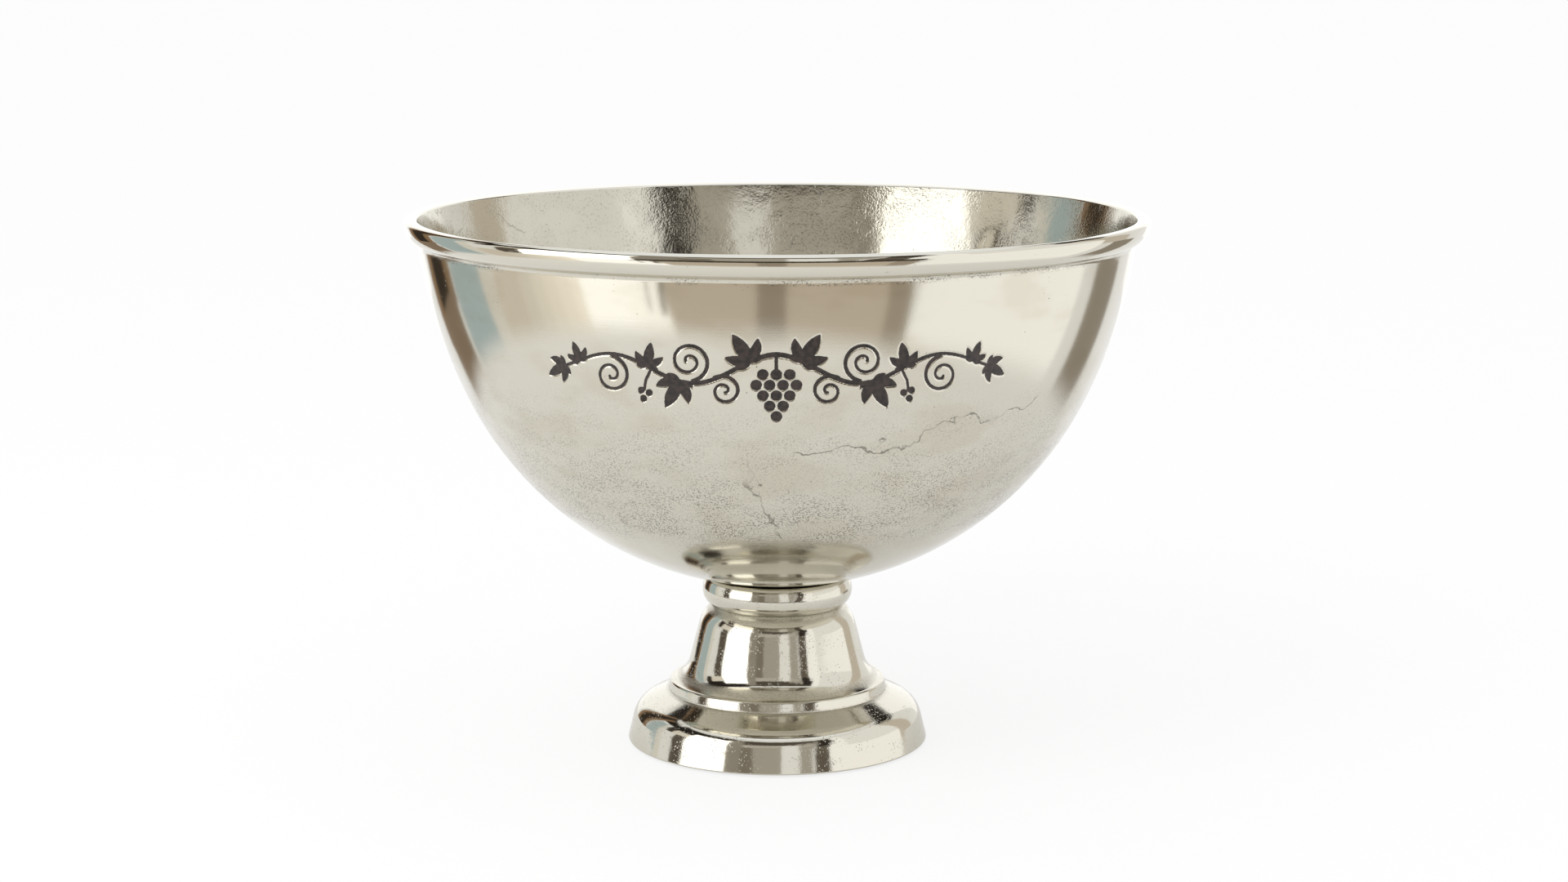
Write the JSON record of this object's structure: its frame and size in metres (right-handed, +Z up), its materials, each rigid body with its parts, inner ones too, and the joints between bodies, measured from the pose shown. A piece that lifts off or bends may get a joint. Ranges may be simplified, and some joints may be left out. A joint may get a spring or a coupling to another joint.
{
  "type": "footed champagne bowl",
  "caption": "Round footed bowl in nickel-plated cast aluminium, with a flared lip and a hollow turned foot bolted on from below, for ice and bottles.",
  "frame": {"origin": "on the table, in the middle of the felt feet", "axes": "+Z up along the bowl's axis; the body is round, so +X and +Y are free choices"},
  "size_m": [0.4, 0.4, 0.2899],
  "materials": {
    "nickel_bowl": "sand-cast, satin polished and nickel plated, with casting pits, flow lines and fine polishing marks",
    "nickel_foot": "sand-cast, mirror polished and nickel plated outside, raw casting inside",
    "zinc_steel": "bright zinc plated",
    "spring_steel": "dark oiled spring steel",
    "felt": "pressed wool felt, die cut"
  },
  "bodies": {
    "root": {"bowl": "nickel_bowl", "foot": "nickel_foot", "fixing_stud": "zinc_steel", "flat_washer": "zinc_steel", "spring_washer": "spring_steel", "hex_nut": "zinc_steel", "felt_feet": "felt"}
  },
  "joints": []
}
